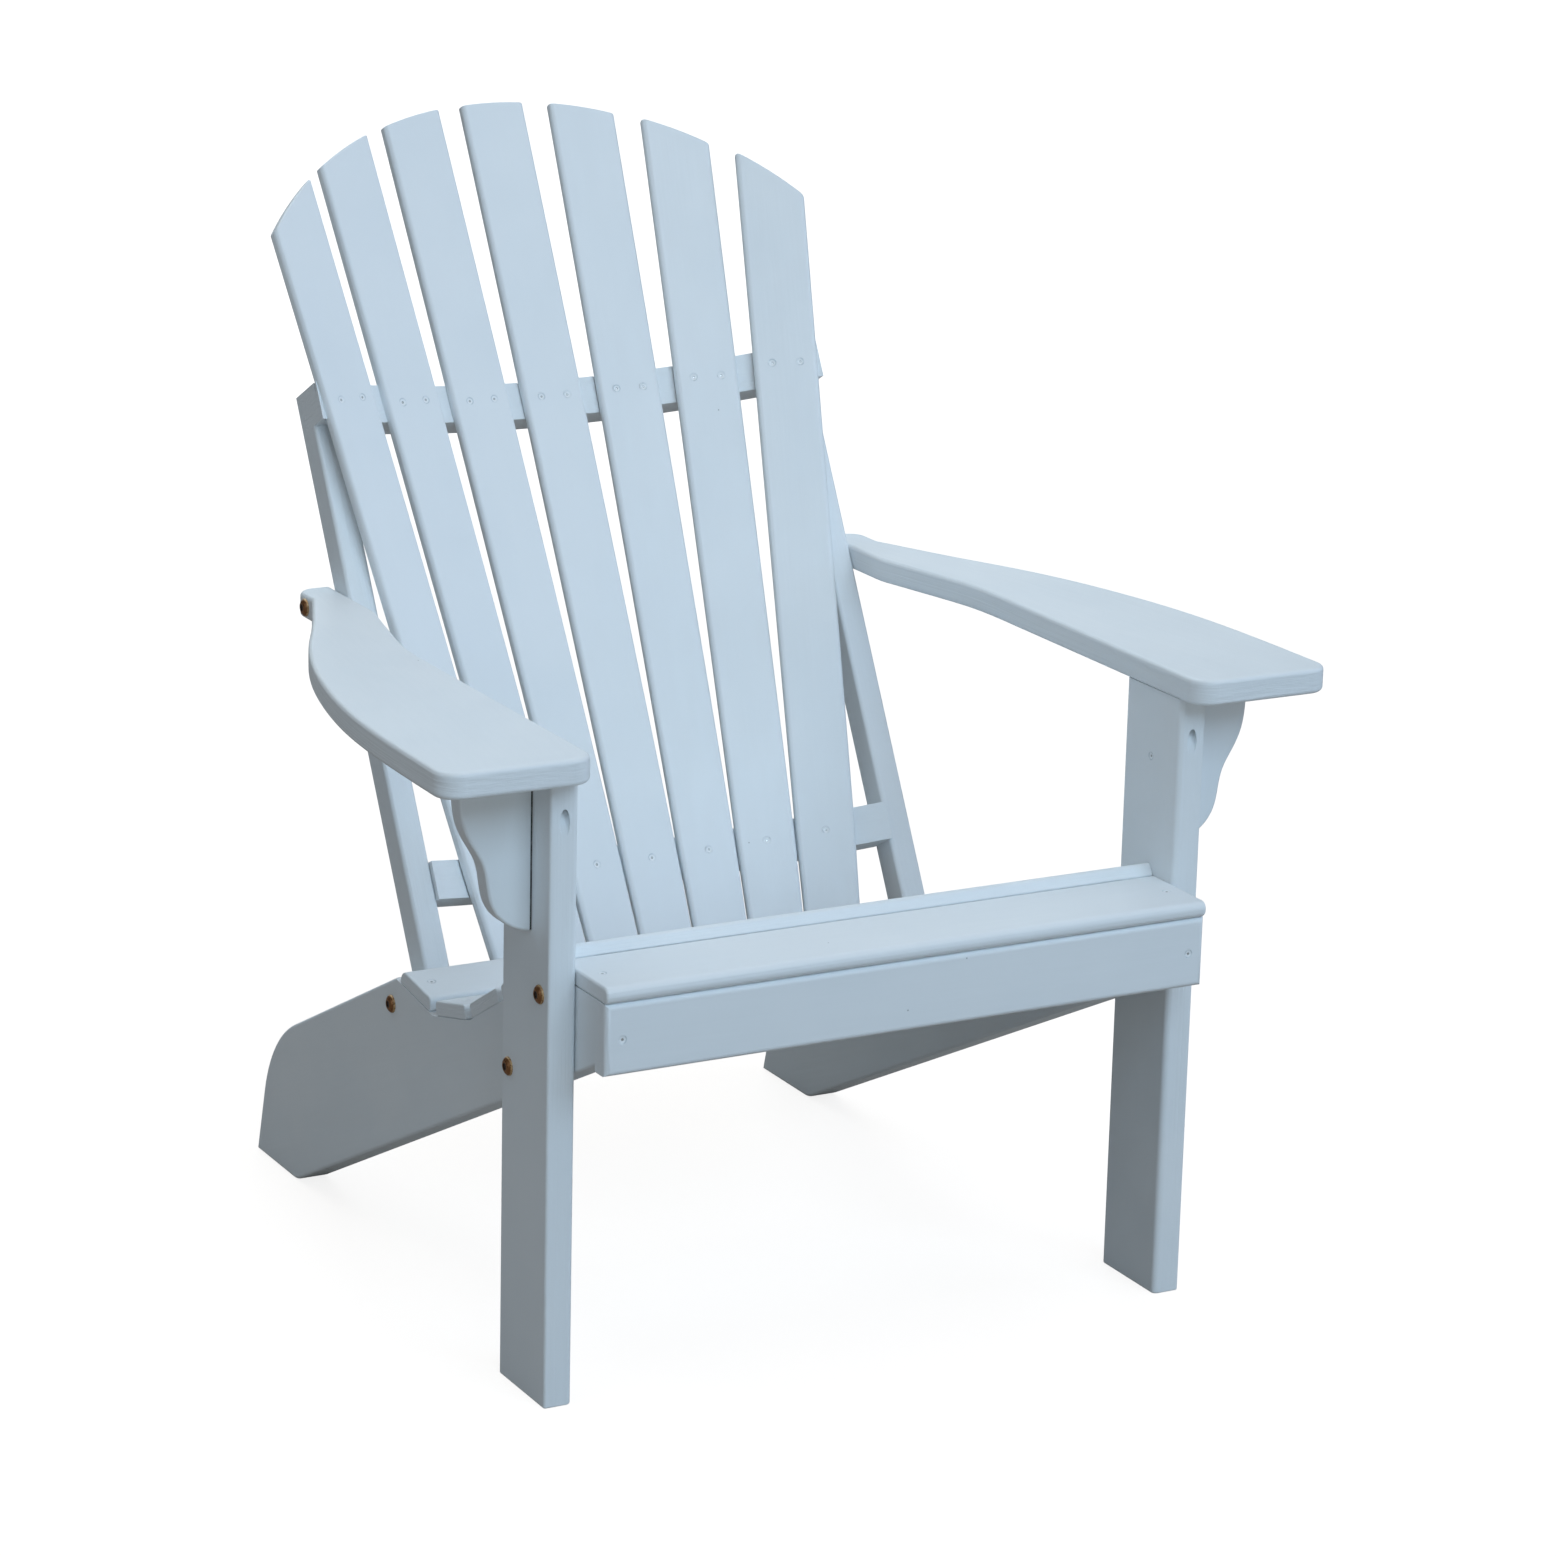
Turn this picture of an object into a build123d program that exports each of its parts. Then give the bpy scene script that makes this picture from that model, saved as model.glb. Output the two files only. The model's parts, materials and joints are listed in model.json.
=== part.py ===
import math
import os

from build123d import *

# Overall sizes
seat_width = 556.0
arm_top = 551.0
seat_front_height = 375.0

# Legs and arms
leg_thick = 25.0
leg_depth = 84.5
leg_round = 5.0
leg_outer_round = 2.5
arm_thick = 22.0
arm_overhang = 29.0
arm_front_inset = 2.0
arm_outer_reach = 106.0
arm_rear_width = 33.0
arm_rear_past_post = 14.0
arm_ear_front = 6.0
arm_bolt_back = 7.5
arm_corner = 20.0
arm_rear_corner = 16.0
arm_ear_round = 8.0
arm_round = 4.0

# Stringers
stringer_thick = 30.0
stringer_width = 133.0
stringer_slope = 26.7
foot_length = 91.124
foot_rear_lean = 15.0
foot_rear_radius = 130.0
foot_front_radius = 30.0
stringer_drop = 91.4
stringer_round = 3.0

# Apron and front slat
apron_thick = 18.0
apron_height = 60.0
apron_front = 51.0
apron_round = 5.0
nosing_thick = 14.0
nosing_drop = 6.0
nosing_front = 53.0
nosing_depth = 81.6
nosing_screw_back = 39.0
nosing_round = 6.4

# Seat slats behind the front slat
slat_thick = 13.0
slat_width = 60.0
slat_gap = 9.0
slat_round = 4.0
lip_width = 54.5
lip_start_y = 36.5
lip_rise = 4.0
lip_angle = 33.6
ramp_angle = 30.2
dish_angle = 14.0
heel_angle = -7.5
heel_round = 9.0

# Back posts and rails
post_thick = 24.0
post_depth = 30.8
post_lean = 28.8
post_seat_y = 416.358
post_below = 194.932
post_round = 3.5
rail_height = 34.0
rail_depth = 33.0
rail_seat = 2.0
rail_upper_at = 373.068
rail_lower_at = -56.932
rail_notch_depth = 20.0
rail_tenon = 12.0
rail_tenon_height = 16.0
rail_tenon_depth = 12.0

# Back slats
back_thick = 12.0
back_low_gap = 1.7
back_high_gap = 15.3
back_low_inset = 57.5
back_high_inset = 26.6
back_stand_off = 16.7548
back_low_radius = 600.0
back_high_radius = 540.0
back_below = 165.932
back_top = 653.0
back_arc_radius = 333.0
back_round = 4.8
back_top_round = 1.5

# Corbels
corbel_thick = 20.0
corbel_reach = 63.0
corbel_height = 134.0
corbel_round = 3.0

# Fasteners
bolt_head_d = 16.0
bolt_head_h = 4.0
bolt_shank_d = 6.0
bolt_socket_d = 5.0
bolt_socket_depth = 2.2
nut_flange_d = 12.0
nut_flange_h = 2.5
nut_sleeve_d = 9.0
nut_sleeve_len = 12.0
screw_d = 4.0
screw_head_d = 7.6
screw_head_h = 3.0
screw_sink = 0.8
screw_bite = 18.0
hole_clear = 0.1
leg_bolt_front = 15.6
leg_bolt_rear = 71.3
leg_bolt_upper_drop = 7.4
leg_bolt_lower_drop = 13.6
post_bolt_rise = 40.0
pocket_d = 9.0
pocket_angle = 23.0
pocket_centre_drop = 38.0
pocket_floor_drop = 18.0

# Values that follow from the sizes above
half_seat = seat_width / 2
leg_out = half_seat + leg_thick
stringer_in = half_seat - stringer_thick
post_in = stringer_in - post_thick
arm_under = arm_top - arm_thick
slope = math.tan(math.radians(stringer_slope))
apron_rear = -apron_front + apron_thick
nosing_rear = -nosing_front + nosing_depth
nosing_top = seat_front_height - nosing_drop
front_seat_z = nosing_top - nosing_thick
lean_s = math.sin(math.radians(post_lean))
lean_c = math.cos(math.radians(post_lean))
screw_x = half_seat - stringer_thick / 2
stringer_bottom_at_leg = seat_front_height - stringer_drop
foot_rear = stringer_bottom_at_leg / slope + foot_length
post_bottom = -post_below
back_bottom = -back_below
slat_count = 7
outer_n = (slat_count - 1) / 2
back_low_pitch = (post_in - back_low_inset) / outer_n
back_high_pitch = (stringer_in - back_high_inset) / outer_n
back_width_low = back_low_pitch - back_low_gap
back_width_high = back_high_pitch - back_high_gap
outer_turn = outer_n * back_high_pitch / back_high_radius
back_sag = back_high_radius * (1 - math.cos(outer_turn)) - back_stand_off


def yz_solid(sketch, x0, x1):
    """Extrude a sketch drawn in Y and Z from x0 to x1."""
    return extrude(Plane.YZ.offset(x0) * sketch, amount=x1 - x0)


def vertex_near(sketch, a, b):
    """Return the sketch vertex closest to a, b."""
    return min(sketch.vertices(), key=lambda v: (v.X - a) ** 2 + (v.Y - b) ** 2)


def outline(points):
    """Return a closed face through the points."""
    return make_face(Polyline(*points, close=True))


def round_corner(sketch, point, radius):
    """Round one corner of a sketch."""
    return fillet(vertex_near(sketch, point[0], point[1]), radius)


def mirrored(shape):
    """Return the shape on the other side of the chair."""
    return mirror(shape, about=Plane.YZ)


def turned(shape, origin, direction):
    """Place a shape made along +Z at origin, with +Z along direction."""
    return Plane(origin=origin, z_dir=direction).location * shape


def screw(length):
    """Countersunk screw along minus Z, with the top of its head at zero."""
    head = Pos(0, 0, -screw_head_h / 2) * Cone(screw_d / 2, screw_head_d / 2, screw_head_h)
    shank = Pos(0, 0, -(screw_head_h + length) / 2) * Cylinder(screw_d / 2, length - screw_head_h)
    return head + shank


def screw_hole(length):
    """The screw and the sunk hole above its head."""
    sink = Pos(0, 0, screw_sink) * Cylinder(screw_head_d / 2, 2 * screw_sink)
    return screw(length) + sink


def bolt(length):
    """Dome head bolt along minus Z, seated at zero."""
    radius = (bolt_head_d ** 2 / 4 + bolt_head_h ** 2) / (2 * bolt_head_h)
    dome = Pos(0, 0, bolt_head_h - radius) * Sphere(radius)
    head = dome & Pos(0, 0, bolt_head_h / 2) * Cylinder(bolt_head_d / 2, bolt_head_h)
    socket = Pos(0, 0, bolt_head_h) * Cylinder(bolt_socket_d / 2, 2 * bolt_socket_depth)
    shank = Pos(0, 0, -length / 2) * Cylinder(bolt_shank_d / 2, length)
    return (head - socket) + shank


def nut():
    """Sleeve nut along plus Z into the wood, its flange seated at zero."""
    flange = Pos(0, 0, -nut_flange_h / 2) * Cylinder(nut_flange_d / 2, nut_flange_h)
    flange = fillet(flange.edges().group_by(Axis.Z)[0], nut_flange_h * 0.4)
    sleeve = Pos(0, 0, nut_sleeve_len / 2) * Cylinder(nut_sleeve_d / 2, nut_sleeve_len)
    bore = Pos(0, 0, nut_sleeve_len / 2) * Cylinder(bolt_shank_d / 2, nut_sleeve_len)
    return flange + sleeve - bore


def nut_hole():
    """The hole that takes the nut's sleeve."""
    return Pos(0, 0, nut_sleeve_len / 2) * Cylinder(nut_sleeve_d / 2, nut_sleeve_len)


# Positions on the leaning back
def back_point(x, along, front):
    """Point on the back: across, up the post line from seat level, in front of the post face."""
    y = post_seat_y + along * lean_s - front * lean_c
    return Vector(x, y, seat_front_height + along * lean_c + front * lean_s)


back_up = Vector(0, lean_s, lean_c)
back_out = Vector(0, -lean_c, lean_s)
back_plane = Plane(origin=back_point(0, 0, 0), x_dir=(1, 0, 0), z_dir=back_out)


def back_box(x0, x1, a0, a1, f0, f1):
    """Box on the back between the given limits."""
    box = Pos((x0 + x1) / 2, (a0 + a1) / 2, (f0 + f1) / 2) * Box(x1 - x0, a1 - a0, f1 - f0)
    return back_plane.location * box


# Seat slats: front top corners and tilts, from the front to the heel
tilts = [lip_angle, ramp_angle, ramp_angle, dish_angle, heel_angle]
slat_widths = [lip_width] + [slat_width] * (len(tilts) - 1)
slat_tops = []
corner = (lip_start_y, seat_front_height + lip_rise)
for i, (tilt, width) in enumerate(zip(tilts, slat_widths)):
    turn = math.radians(tilt)
    slat_tops.append((corner[0], corner[1], turn))
    end = (corner[0] + width * math.cos(turn), corner[1] - width * math.sin(turn))
    if i + 1 < len(tilts):
        step = math.radians((tilt + tilts[i + 1]) / 2)
        corner = (end[0] + slat_gap * math.cos(step), end[1] - slat_gap * math.sin(step))


def on_slat(top, along, down):
    """Point of a slat section: along its top from the front corner, and down into it."""
    y, z, turn = top
    return (
        y + along * math.cos(turn) - down * math.sin(turn),
        z - along * math.sin(turn) - down * math.cos(turn),
    )


def slat_section(top, width, rear_round):
    """Rounded section of a seat slat."""
    a = on_slat(top, 0, 0)
    b = on_slat(top, width, 0)
    c = on_slat(top, width, slat_thick)
    d = on_slat(top, 0, slat_thick)
    face = outline([a, b, c, d])
    face = round_corner(face, a, slat_round)
    face = round_corner(face, b, rear_round)
    face = round_corner(face, c, slat_round / 2)
    return round_corner(face, d, slat_round / 2)


def end_rounded(solid, radius):
    """Round the edges of the two end faces across X."""
    faces = solid.faces().sort_by(Axis.X)
    edges = faces[0].edges() + faces[-1].edges()
    return fillet(edges, radius)


seat_slats = []
nosing = outline([
    (-nosing_front, front_seat_z),
    (nosing_rear, front_seat_z),
    (nosing_rear, nosing_top),
    (-nosing_front, nosing_top),
])
nosing = round_corner(nosing, (-nosing_front, nosing_top), nosing_round)
nosing = round_corner(nosing, (-nosing_front, front_seat_z), nosing_round)
nosing = round_corner(nosing, (nosing_rear, nosing_top), slat_round / 2)
seat_slats.append(end_rounded(yz_solid(nosing, -half_seat, half_seat), slat_round * 0.6))
for i, top in enumerate(slat_tops):
    rear = heel_round if i == len(slat_tops) - 1 else slat_round
    section = slat_section(top, slat_widths[i], rear)
    seat_slats.append(end_rounded(yz_solid(section, -half_seat, half_seat), slat_round * 0.4))


# Stringer outline: bottom line, foot, rear end, top line and the dished seat cut
def crossing(p, angle_p, q, angle_q):
    """Point where two lines meet, each by a point and a downward tilt to the rear."""
    mp = -math.tan(angle_p)
    mq = -math.tan(angle_q)
    y = (q[1] - p[1] + mp * p[0] - mq * q[0]) / (mp - mq)
    return (y, p[1] + mp * (y - p[0]))


slope_angle = math.radians(stringer_slope)
bottom_point = (0.0, stringer_bottom_at_leg)
top_point = (0.0, stringer_bottom_at_leg + stringer_width / math.cos(slope_angle))
foot_front = (stringer_bottom_at_leg / slope, 0.0)
foot_back = (foot_rear, 0.0)
rear_angle = math.radians(90 - foot_rear_lean)
rear_corner = crossing(foot_back, rear_angle, top_point, slope_angle)
heel_under = on_slat(slat_tops[4], slat_width, slat_thick)
dish_under = on_slat(slat_tops[3], slat_width / 2, slat_thick)
ramp_under = on_slat(slat_tops[1], 0, slat_thick)
lip_under = on_slat(slat_tops[0], 0, slat_thick)
heel_meet = crossing(heel_under, slat_tops[4][2], top_point, slope_angle)
dish_heel = crossing(dish_under, slat_tops[3][2], heel_under, slat_tops[4][2])
ramp_dish = crossing(ramp_under, slat_tops[1][2], dish_under, slat_tops[3][2])
lip_ramp = crossing(lip_under, slat_tops[0][2], ramp_under, slat_tops[1][2])
stringer_points = [
    (apron_rear, stringer_bottom_at_leg - slope * apron_rear),
    foot_front,
    foot_back,
    rear_corner,
    heel_meet,
    dish_heel,
    ramp_dish,
    lip_ramp,
    lip_under,
    (nosing_rear, front_seat_z),
    (apron_rear, front_seat_z),
]
stringer_face = outline(stringer_points)
stringer_face = round_corner(stringer_face, foot_front, foot_front_radius)
stringer_face = round_corner(stringer_face, rear_corner, foot_rear_radius)
stringer = yz_solid(stringer_face, stringer_in, half_seat)


def lower_edge(edge):
    """True for a face edge along the bottom, the foot or the rear of the stringer."""
    centre = edge.center()
    on_face = edge.bounding_box().size.X < 0.01
    behind = centre.Y > heel_meet[0] + 1
    low = centre.Z < stringer_bottom_at_leg - slope * centre.Y + 20
    inside = centre.Y > apron_rear + 1
    return on_face and inside and (behind or low)


stringer = fillet([e for e in stringer.edges() if lower_edge(e)], stringer_round)

# Front leg with its pocket hole
leg = Pos((half_seat + leg_out) / 2, leg_depth / 2, arm_under / 2) * Box(leg_thick, leg_depth, arm_under)
leg_uprights = leg.edges().filter_by(Axis.Z).sort_by(Axis.X)
leg = fillet(leg_uprights[:2], leg_round)
leg = fillet(leg.edges().filter_by(Axis.Z).sort_by(Axis.X)[-2:], leg_outer_round)
leg = fillet(leg.faces().sort_by(Axis.Z)[0].edges(), leg_round * 0.3)
leg_mid_x = half_seat + leg_thick / 2
pocket_turn = math.radians(pocket_angle)
pocket_dir = Vector(0, math.sin(pocket_turn), math.cos(pocket_turn))
pocket_entry = Vector(leg_mid_x, 0, arm_under - pocket_centre_drop)
pocket_run = (pocket_centre_drop - pocket_floor_drop) / math.cos(pocket_turn)
pocket_floor = pocket_entry + pocket_dir * pocket_run
pocket_cut_len = pocket_run + 4 * pocket_d
pocket_cut = turned(
    Pos(0, 0, -pocket_cut_len / 2) * Cylinder(pocket_d / 2, pocket_cut_len), pocket_floor, pocket_dir
)
leg = leg - pocket_cut

# Apron
apron_z = front_seat_z - apron_height / 2
apron = Pos(0, -apron_front + apron_thick / 2, apron_z) * Box(seat_width, apron_thick, apron_height)
apron = fillet(apron.faces().sort_by(Axis.Y)[0].edges(), apron_round)

# Back post, notched for the upper rail and mortised for the lower one
post_top = rail_upper_at + rail_height / 2
post = back_box(post_in, stringer_in, post_bottom, post_top, -post_depth, 0)
post = fillet([e for e in post.edges() if e.length > post_top - post_bottom - 1], post_round)
notch = back_box(post_in - 1, stringer_in + 1, post_top - rail_height, post_top + 1, -rail_notch_depth, 1)
tenon_low = -(post_depth + rail_tenon_depth) / 2
tenon_box = back_box(
    post_in - 1,
    post_in + rail_tenon,
    rail_lower_at - rail_tenon_height / 2,
    rail_lower_at + rail_tenon_height / 2,
    tenon_low,
    tenon_low + rail_tenon_depth,
)
post = post - notch - tenon_box

# Back slats: each a flat board on its own line across the two rails
high_centre = back_high_radius - back_sag
low_centre = back_low_radius - back_sag
arc_centre = Pos(0, back_top - back_arc_radius)
above_arc = arc_centre * Pos(0, back_arc_radius) * Rectangle(4 * back_arc_radius, 2 * back_arc_radius)
above_arc = above_arc - arc_centre * Circle(back_arc_radius)
arc_cut = extrude(back_plane * above_arc, amount=back_arc_radius / 2, both=True)
back_slats = []
back_blanks = []
slat_frames = []
for k in range(slat_count):
    n = k - outer_n
    low_turn = n * back_low_pitch / back_low_radius
    high_turn = n * back_high_pitch / back_high_radius
    low_at = Vector(
        back_low_radius * math.sin(low_turn),
        rail_lower_at,
        low_centre - back_low_radius * math.cos(low_turn),
    )
    high_at = Vector(
        back_high_radius * math.sin(high_turn),
        rail_upper_at,
        high_centre - back_high_radius * math.cos(high_turn),
    )
    run = high_at - low_at
    axis = run.normalized()
    face_turn = (low_turn + high_turn) / 2
    facing = Vector(-math.sin(face_turn), 0, math.cos(face_turn))
    facing = (facing - axis * facing.dot(axis)).normalized()
    frame = Plane(origin=low_at, x_dir=axis.cross(facing), z_dir=facing)
    drop = rail_lower_at - back_bottom
    rise = back_top - rail_lower_at + back_arc_radius * 0.1
    pitch_slope = (back_high_pitch - back_low_pitch) / (rail_upper_at - rail_lower_at)
    low_half = back_width_low / 2
    foot_half = low_half - pitch_slope * drop / 2
    widen = (back_width_high - back_width_low) / 2 / run.length
    top_half = low_half + widen * rise
    shape = outline([
        (-foot_half, -drop),
        (foot_half, -drop),
        (low_half, 0),
        (top_half, rise),
        (-top_half, rise),
        (-low_half, 0),
    ])
    blank = extrude(shape, amount=-back_thick)
    blank = back_plane.location * (frame.location * blank)
    back_blanks.append(blank - arc_cut)
    slat = fillet(blank.edges(), back_round) - arc_cut
    top_face = slat.faces().sort_by(Axis(back_point(0, 0, 0), back_up))[-1]
    back_slats.append(fillet(top_face.edges(), back_top_round))
    slat_frames.append((back_plane.location * frame.location, run.length))


# Curved rails
def rail_plane(at):
    """Plane across the back at the underside of a rail: X across, Y to the rear."""
    return Plane(origin=back_point(0, at - rail_height / 2, 0), x_dir=(1, 0, 0), z_dir=back_up)


def rail_band(radius, sag, half):
    """Curved band behind the slats, cut off at half the rail's length."""
    front = radius + back_thick - rail_seat
    centre = Pos(0, sag - radius)
    band = centre * Circle(front + rail_depth) - centre * Circle(front)
    return band & Pos(0, 0) * Rectangle(2 * half, 4 * rail_depth + 4 * sag)


band = rail_band(back_high_radius, back_sag, stringer_in)
inner_disc = Pos(0, back_sag - back_high_radius) * Circle(back_high_radius + back_thick - rail_seat)
past_notch = 2 * rail_depth
for side in (-1, 1):
    end_mid = side * (post_in + stringer_in) / 2
    behind_notch = Pos(end_mid, rail_notch_depth + past_notch / 2) * Rectangle(post_thick, past_notch)
    end_block = Pos(end_mid, rail_notch_depth - past_notch / 2) * Rectangle(post_thick, past_notch)
    band = band - behind_notch
    band = band + (end_block - inner_disc)
rail_upper = extrude(rail_plane(rail_upper_at) * band, amount=rail_height)
rail_lower = extrude(
    rail_plane(rail_lower_at) * rail_band(back_low_radius, back_sag, post_in), amount=rail_height
)
for blank in back_blanks:
    rail_upper = rail_upper - blank
    rail_lower = rail_lower - blank
tenon = back_box(
    post_in - rail_tenon,
    post_in + rail_tenon,
    rail_lower_at - rail_tenon_height / 2,
    rail_lower_at + rail_tenon_height / 2,
    tenon_low,
    tenon_low + rail_tenon_depth,
)
rail_lower = rail_lower + tenon + mirrored(tenon)

# Arm outline, drawn for the side at plus X
post_mid_rise = arm_top - arm_thick / 2 - seat_front_height
post_mid_along = (post_mid_rise + post_depth / 2 * lean_s) / lean_c
post_mid = back_point(0, post_mid_along, -post_depth / 2)
arm_bolt_at = post_mid + Vector(0, arm_bolt_back, 0)
arm_rear = post_mid.Y + post_depth / 2 / lean_c + arm_rear_past_post
arm_in = half_seat - arm_front_inset
arm_out = leg_out + arm_outer_reach
arm_run = arm_rear + arm_overhang
arm_swell = arm_out - stringer_in - arm_rear_width
arm_step = arm_in - stringer_in


def arm_at(share):
    """Y at a share of the arm's length from its front."""
    return -arm_overhang + share * arm_run


arm_ear_x = stringer_in + arm_rear_width
arm_ear = (arm_ear_x, post_mid.Y - arm_ear_front)
outer_curve = [
    (arm_out, -arm_overhang),
    (arm_out - 0.020 * arm_swell, arm_at(0.20)),
    (arm_out - 0.080 * arm_swell, arm_at(0.36)),
    (arm_out - 0.188 * arm_swell, arm_at(0.485)),
    (arm_out - 0.345 * arm_swell, arm_at(0.607)),
    (arm_out - 0.534 * arm_swell, arm_at(0.710)),
    (arm_out - 0.720 * arm_swell, arm_at(0.794)),
    (arm_out - 0.884 * arm_swell, arm_at(0.876)),
    arm_ear,
]
arm_tip = (arm_ear_x, arm_rear)
inner_curve = [
    (stringer_in, arm_at(0.840)),
    (stringer_in + 0.12 * arm_step, arm_at(0.805)),
    (stringer_in + 0.36 * arm_step, arm_at(0.755)),
    (stringer_in + 0.78 * arm_step, arm_at(0.665)),
    (arm_in, arm_at(0.530)),
]
arm_edges = [
    Spline(*outer_curve),
    Line(arm_ear, arm_tip),
    Line(arm_tip, (stringer_in, arm_rear)),
    Line((stringer_in, arm_rear), inner_curve[0]),
    Spline(*inner_curve, tangents=[(0, -1), (0, -1)]),
    Line(inner_curve[-1], (arm_in, -arm_overhang)),
    Line((arm_in, -arm_overhang), outer_curve[0]),
]
arm_face = make_face(arm_edges)
arm_face = round_corner(arm_face, outer_curve[0], arm_corner)
arm_face = round_corner(arm_face, (arm_in, -arm_overhang), arm_corner)
arm_face = round_corner(arm_face, arm_tip, arm_rear_corner)
arm_face = round_corner(arm_face, arm_ear, arm_ear_round)
arm = extrude(Pos(0, 0, arm_under) * arm_face, amount=arm_thick)
arm_rims = arm.faces().sort_by(Axis.Z)[-1].edges() + arm.faces().sort_by(Axis.Z)[0].edges()
arm = fillet(arm_rims, arm_round)

# Corbel outline, drawn for the side at plus X
corbel_foot = arm_under - corbel_height


def corbel_at(reach, drop):
    """Point of the corbel: share of its reach and of its height below the arm."""
    return (leg_out + reach * corbel_reach, arm_under - drop * corbel_height)


corbel_curve = [
    corbel_at(1.0, 0.0),
    corbel_at(0.99, 0.15),
    corbel_at(0.935, 0.32),
    corbel_at(0.81, 0.445),
    corbel_at(0.675, 0.56),
    corbel_at(0.615, 0.68),
    corbel_at(0.565, 0.80),
    corbel_at(0.46, 0.89),
    corbel_at(0.26, 0.965),
    corbel_at(0.0, 1.0),
]
corbel_face = make_face([
    Spline(*corbel_curve),
    Line(corbel_curve[-1], (leg_out, arm_under)),
    Line((leg_out, arm_under), corbel_curve[0]),
])
corbel_rear = (leg_depth + corbel_thick) / 2
corbel = extrude(Plane.XZ.offset(-corbel_rear) * corbel_face, amount=corbel_thick)
corbel_rims = [
    e for e in corbel.edges()
    if e.center().X > leg_out + 1 and e.center().Z < arm_under - 1 and e.bounding_box().size.Y < 0.01
]
corbel = fillet(corbel_rims, corbel_round)

# Bolts and nuts at plus X: head place, length to the inner face
leg_bolt_spots = [
    (leg_bolt_front, front_seat_z - leg_bolt_upper_drop),
    (leg_bolt_rear, stringer_bottom_at_leg - leg_bolt_lower_drop),
]
post_bolt_at = back_point(0, post_bottom + post_bolt_rise, -post_depth / 2)
leg_bolts = []
leg_nuts = []
for y, z in leg_bolt_spots:
    length = leg_out - stringer_in
    leg_bolts.append(turned(bolt(length), (leg_out, y, z), (1, 0, 0)))
    leg_nuts.append(turned(nut(), (stringer_in, y, z), (1, 0, 0)))
post_bolt = turned(bolt(half_seat - post_in), (half_seat, post_bolt_at.Y, post_bolt_at.Z), (1, 0, 0))
post_nut = turned(nut(), (post_in, post_bolt_at.Y, post_bolt_at.Z), (1, 0, 0))
arm_bolt = turned(bolt(arm_ear_x - post_in), (arm_ear_x, arm_bolt_at.Y, arm_bolt_at.Z), (1, 0, 0))
arm_nut = turned(nut(), (post_in, arm_bolt_at.Y, arm_bolt_at.Z), (1, 0, 0))


def bolt_hole(x0, x1, y, z):
    """Shank hole along X."""
    hole = Cylinder(bolt_shank_d / 2, x1 - x0)
    return turned(hole, ((x0 + x1) / 2, y, z), (1, 0, 0))


for y, z in leg_bolt_spots:
    leg = leg - bolt_hole(half_seat - 1, leg_out + 1, y, z)
    stringer = stringer - bolt_hole(stringer_in - 1, half_seat + 1, y, z)
    stringer = stringer - turned(nut_hole(), (stringer_in, y, z), (1, 0, 0))
stringer = stringer - bolt_hole(stringer_in - 1, half_seat + 1, post_bolt_at.Y, post_bolt_at.Z)
for place in (post_bolt_at, arm_bolt_at):
    post = post - bolt_hole(post_in - 1, stringer_in + 1, place.Y, place.Z)
    post = post - turned(nut_hole(), (post_in, place.Y, place.Z), (1, 0, 0))
arm = arm - bolt_hole(stringer_in - 1, arm_out, arm_bolt_at.Y, arm_bolt_at.Z)

# Screws and their holes
down = Vector(0, 0, -1)
seat_screws = []
seat_len = slat_thick - screw_sink + screw_bite
nosing_len = nosing_thick - screw_sink + screw_bite
nosing_mid = -nosing_front + nosing_screw_back
for side in (-1, 1):
    at = Vector(side * screw_x, nosing_mid, nosing_top - screw_sink)
    seat_screws.append(turned(screw(nosing_len), at, (0, 0, 1)))
    cut = turned(screw_hole(nosing_len), at, (0, 0, 1))
    seat_slats[0] = seat_slats[0] - cut
    if side > 0:
        stringer = stringer - cut
for i, top in enumerate(slat_tops):
    y, z = on_slat(top, slat_widths[i] / 2, screw_sink)
    normal = (0, math.sin(top[2]), math.cos(top[2]))
    for side in (-1, 1):
        at = Vector(side * screw_x, y, z)
        seat_screws.append(turned(screw(seat_len), at, normal))
        cut = turned(screw_hole(seat_len), at, normal)
        seat_slats[i + 1] = seat_slats[i + 1] - cut
        if side > 0:
            stringer = stringer - cut

apron_screws = []
apron_len = apron_thick - screw_sink + screw_bite
for side in (-1, 1):
    at = Vector(side * screw_x, -apron_front + screw_sink, apron_z)
    apron_screws.append(turned(screw(apron_len), at, (0, -1, 0)))
    cut = turned(screw_hole(apron_len), at, (0, -1, 0))
    apron = apron - cut
    if side > 0:
        stringer = stringer - cut

corbel_len = leg_thick - screw_sink + screw_bite
corbel_at_z = arm_under - corbel_height * 0.44
corbel_place = Vector(half_seat + screw_sink, leg_depth / 2, corbel_at_z)
corbel_screw = turned(screw(corbel_len), corbel_place, (-1, 0, 0))
corbel_cut = turned(screw_hole(corbel_len), corbel_place, (-1, 0, 0))
leg = leg - corbel_cut
corbel = corbel - corbel_cut

pocket_len = pocket_floor_drop / math.cos(pocket_turn) + arm_thick * 0.6
pocket_head = pocket_floor - pocket_dir * screw_head_h * 0.5
pocket_screw = turned(screw(pocket_len + screw_head_h * 0.5), pocket_head, pocket_dir * -1)
leg = leg - pocket_screw
pilot_len = pocket_len + 2 * hole_clear
pilot = Pos(0, 0, pilot_len / 2) * Cylinder(screw_d / 2 + hole_clear, pilot_len)
arm = arm - turned(pilot, pocket_floor, pocket_dir)

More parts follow.
